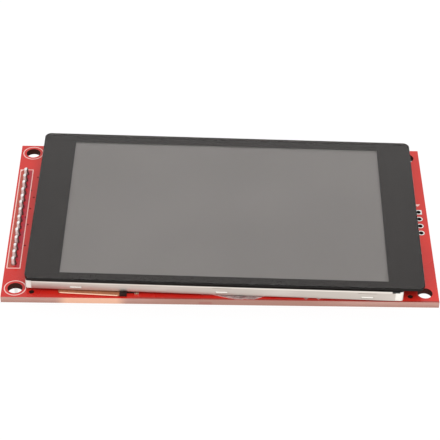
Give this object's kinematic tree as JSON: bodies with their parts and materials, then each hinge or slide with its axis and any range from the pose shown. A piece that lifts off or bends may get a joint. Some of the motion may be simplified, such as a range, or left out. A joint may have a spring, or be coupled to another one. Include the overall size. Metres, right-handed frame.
{
  "type": "tft display module",
  "caption": "Colour display module: black-bordered cover glass over a framed display on a red circuit board, with a pin header along one end.",
  "frame": {"origin": "centre of the four mounting holes, on the board's back face", "axes": "+X along the board away from the pin header, +Y across it, +Z out of the display"},
  "size_m": [0.098, 0.0556, 0.0147],
  "materials": {
    "board_red": "glossy red solder mask on glass-fibre board",
    "print_white": "matt printed ink",
    "tinned_copper": "tinned, satin",
    "black_plastic": "matt moulded",
    "gold_plate": "gold-flashed",
    "solder": "bright solder",
    "cover_glass": "polished",
    "black_ink": "glossy printed ink under the glass",
    "clear_film": "clear",
    "sensor_film": "clear, faint grid",
    "amber_flex": "satin amber film over copper",
    "black_foam": "matt",
    "frame_steel": "satin, folded edges bright",
    "white_plastic": "matt moulded",
    "polarizer": "satin film",
    "cell_glass": "polished",
    "bare_silicon": "polished",
    "white_film": "matt",
    "guide_plastic": "clear moulded",
    "diode_body": "satin",
    "strip_white": "satin",
    "foam_tape": "matt",
    "clear_adhesive": "cloudy clear, soft edge",
    "shell_steel": "bright, lightly brushed",
    "chip_black": "fine matt moulding",
    "tinned_leads": "satin",
    "resistor_black": "glazed",
    "capacitor_tan": "ceramic"
  },
  "bodies": {
    "root": {"circuit_board": "board_red", "screen_print": "print_white", "card_header_pads": "tinned_copper", "header_body": "black_plastic", "header_pins": "gold_plate", "header_solder": "solder", "cover_glass": "cover_glass", "black_border": "black_ink", "optical_adhesive": "clear_film", "touch_sensor": "sensor_film", "touch_flex": "amber_flex", "touch_controller": "chip_black", "touch_connector": "black_plastic", "touch_contacts": "gold_plate", "gasket": "black_foam", "metal_frame": "frame_steel", "white_frame": "white_plastic", "end_seal": "black_foam", "front_polarizer": "polarizer", "color_filter_glass": "cell_glass", "transistor_glass": "cell_glass", "rear_polarizer": "polarizer", "driver_chip": "bare_silicon", "display_flex": "amber_flex", "flex_solder": "solder", "prism_film": "clear_film", "diffuser_film": "white_film", "light_guide": "guide_plastic", "reflector_film": "white_film", "backlight_leds": "diode_body", "led_strip": "strip_white", "mounting_tape": "foam_tape", "front_adhesive": "clear_adhesive", "socket_shell": "shell_steel", "socket_base": "black_plastic", "socket_contacts": "gold_plate", "level_shifter": "chip_black", "voltage_regulator": "chip_black", "backlight_transistor": "chip_black", "chip_leads": "tinned_leads", "chip_resistors": "resistor_black", "chip_capacitors": "capacitor_tan", "chip_end_caps": "tinned_leads"}
  },
  "joints": []
}
